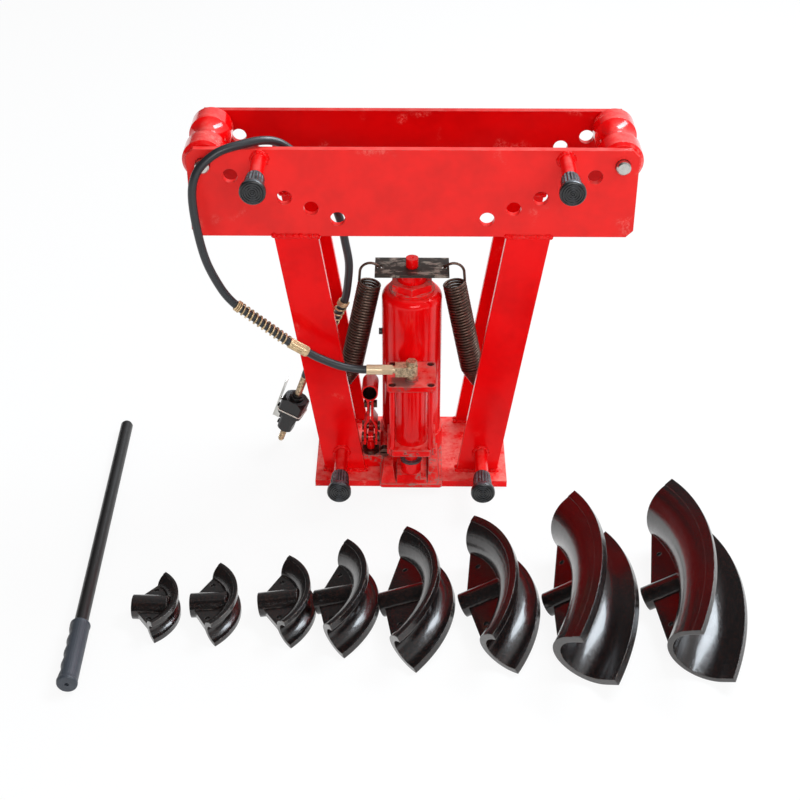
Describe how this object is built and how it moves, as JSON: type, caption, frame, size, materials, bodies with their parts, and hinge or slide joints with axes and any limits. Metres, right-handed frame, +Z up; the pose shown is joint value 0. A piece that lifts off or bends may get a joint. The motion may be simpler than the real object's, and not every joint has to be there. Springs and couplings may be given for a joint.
{
  "type": "hydraulic pipe bender",
  "caption": "Bottle-jack pipe bender on a welded red frame: rollers on pins between drilled side plates, hand and air pump, air hose with valve, loose bending dies and pump handle.",
  "frame": {"origin": "on the underside of the base plate, below the ram's axis", "axes": "+X to the operator's right along the side plates, +Y away from the operator, +Z up along the ram"},
  "size_m": [0.9341, 0.6267, 0.567],
  "materials": {
    "red_paint": "bright red gloss paint, worn pale at edges",
    "bare_steel": "turned bright steel",
    "dark_steel": "dark oiled steel",
    "yellow_zinc": "dull yellow plating",
    "black_rubber": "satin black rubber",
    "black_paint": "satin black paint",
    "slate_rubber": "dark slate rubber",
    "black_iron": "glossy black cast"
  },
  "bodies": {
    "frame": {"base_plate": "red_paint", "front_side_plate": "red_paint", "rear_side_plate": "red_paint", "front_left_leg": "red_paint", "front_right_leg": "red_paint", "rear_left_leg": "red_paint", "rear_right_leg": "red_paint", "support_pegs": "red_paint", "peg_caps": "black_rubber", "spring_anchor_rods": "dark_steel", "jack_base": "red_paint", "jack_reservoir": "red_paint", "jack_cylinder": "bare_steel", "gland_nut": "red_paint", "filler_plug": "black_rubber", "pump_barrel": "dark_steel", "lever_pivot_pin": "dark_steel", "air_pump_neck": "red_paint", "neck_seal": "black_rubber", "air_pump_flange": "red_paint", "air_pump_cylinder": "red_paint", "air_pump_top_plate": "red_paint", "air_pump_tie_bolts": "red_paint", "air_pump_spring": "dark_steel", "banjo_bolt": "yellow_zinc", "banjo_fitting": "yellow_zinc", "air_hose": "black_rubber", "hose_sleeves": "yellow_zinc", "hose_guard_springs": "yellow_zinc", "valve_tube": "yellow_zinc", "valve_body": "black_paint", "valve_nipple": "yellow_zinc", "left_return_spring": "dark_steel", "right_return_spring": "dark_steel"},
    "ram": {"ram": "red_paint", "ram_seal": "black_rubber", "spring_plate": "dark_steel"},
    "pump_lever": {"pump_lever": "red_paint", "plunger_pin": "dark_steel", "lever_clamp_bolt": "dark_steel"},
    "pump_plunger": {"pump_plunger": "red_paint"},
    "release_valve": {"release_valve": "dark_steel"},
    "valve_lever": {"valve_lever": "bare_steel"},
    "valve_button": {"valve_button": "bare_steel"},
    "left_roller": {"left_roller": "red_paint"},
    "right_roller": {"right_roller": "red_paint"},
    "left_roller_pin": {"left_roller_pin": "bare_steel"},
    "right_roller_pin": {"right_roller_pin": "bare_steel"},
    "air_piston": {"air_piston": "bare_steel"},
    "handle": {"handle_bar": "black_paint", "handle_grip": "slate_rubber"},
    "die_1": {"die_1": "black_iron"},
    "die_2": {"die_2": "black_iron"},
    "die_3": {"die_3": "black_iron"},
    "die_4": {"die_4": "black_iron"},
    "die_5": {"die_5": "black_iron"},
    "die_6": {"die_6": "black_iron"},
    "die_7": {"die_7": "black_iron"},
    "die_8": {"die_8": "black_iron"}
  },
  "joints": [
    {"name": "ram_slide", "type": "slide", "parent": "frame", "child": "ram", "axis": [0, 0, 1], "range_m": [0, 0.19], "deforming": ["left_return_spring", "right_return_spring"]},
    {"name": "pump_lever_hinge", "type": "hinge", "parent": "frame", "child": "pump_lever", "pos_m": [-0.063, -0.016, 0.058], "axis": [1, 0, 0], "range_deg": [-20, 16]},
    {"name": "pump_plunger_slide", "type": "slide", "parent": "frame", "child": "pump_plunger", "axis": [0, 0, 1], "range_m": [-0.0084, 0.0105]},
    {"name": "release_valve_turn", "type": "hinge", "parent": "frame", "child": "release_valve", "pos_m": [-0.041, -0.066, 0.0415], "axis": [0, -1, 0], "range_deg": [0, 270]},
    {"name": "valve_lever_hinge", "type": "hinge", "parent": "frame", "child": "valve_lever", "pos_m": [-0.2119, 0.02435, 0.05354], "axis": [0.3584, 0.9336, 0], "range_deg": [0, 5], "stiffness_Nm_per_rad": 0.8, "springref_deg": -5.73},
    {"name": "valve_button_slide", "type": "slide", "parent": "frame", "child": "valve_button", "axis": [0.8773, -0.3368, -0.342], "range_m": [0, 0.0027]},
    {"name": "left_roller_spin", "type": "hinge", "parent": "frame", "child": "left_roller", "pos_m": [-0.288, 0, 0.531], "axis": [0, 1, 0], "continuous": true},
    {"name": "right_roller_spin", "type": "hinge", "parent": "frame", "child": "right_roller", "pos_m": [0.288, 0, 0.531], "axis": [0, 1, 0], "continuous": true},
    {"name": "left_pin_pull", "type": "slide", "parent": "frame", "child": "left_roller_pin", "axis": [0, 1, 0], "range_m": [0, 0.16]},
    {"name": "right_pin_pull", "type": "slide", "parent": "frame", "child": "right_roller_pin", "axis": [0, 1, 0], "range_m": [0, 0.16]},
    {"name": "air_piston_slide", "type": "slide", "parent": "frame", "child": "air_piston", "axis": [0, 0, -1], "range_m": [0, 0.03], "stiffness_N_per_m": 900, "springref_m": -0.02, "deforming": ["air_pump_spring"]},
    {"name": "handle_lift", "type": "slide", "parent": "frame", "child": "handle", "axis": [0, 0, 1], "range_m": [0, 0.3]},
    {"name": "die_1_lift", "type": "slide", "parent": "frame", "child": "die_1", "axis": [0, 0, 1], "range_m": [0, 0.2]},
    {"name": "die_2_lift", "type": "slide", "parent": "frame", "child": "die_2", "axis": [0, 0, 1], "range_m": [0, 0.2]},
    {"name": "die_3_lift", "type": "slide", "parent": "frame", "child": "die_3", "axis": [0, 0, 1], "range_m": [0, 0.2]},
    {"name": "die_4_lift", "type": "slide", "parent": "frame", "child": "die_4", "axis": [0, 0, 1], "range_m": [0, 0.2]},
    {"name": "die_5_lift", "type": "slide", "parent": "frame", "child": "die_5", "axis": [0, 0, 1], "range_m": [0, 0.2]},
    {"name": "die_6_lift", "type": "slide", "parent": "frame", "child": "die_6", "axis": [0, 0, 1], "range_m": [0, 0.2]},
    {"name": "die_7_lift", "type": "slide", "parent": "frame", "child": "die_7", "axis": [0, 0, 1], "range_m": [0, 0.2]},
    {"name": "die_8_lift", "type": "slide", "parent": "frame", "child": "die_8", "axis": [0, 0, 1], "range_m": [0, 0.2]}
  ],
  "couplings": [
    {"joint": "pump_plunger_slide", "follows": "pump_lever_hinge", "m_per_rad": -0.03},
    {"joint": "valve_button_slide", "follows": "valve_lever_hinge", "m_per_rad": 0.03}
  ]
}
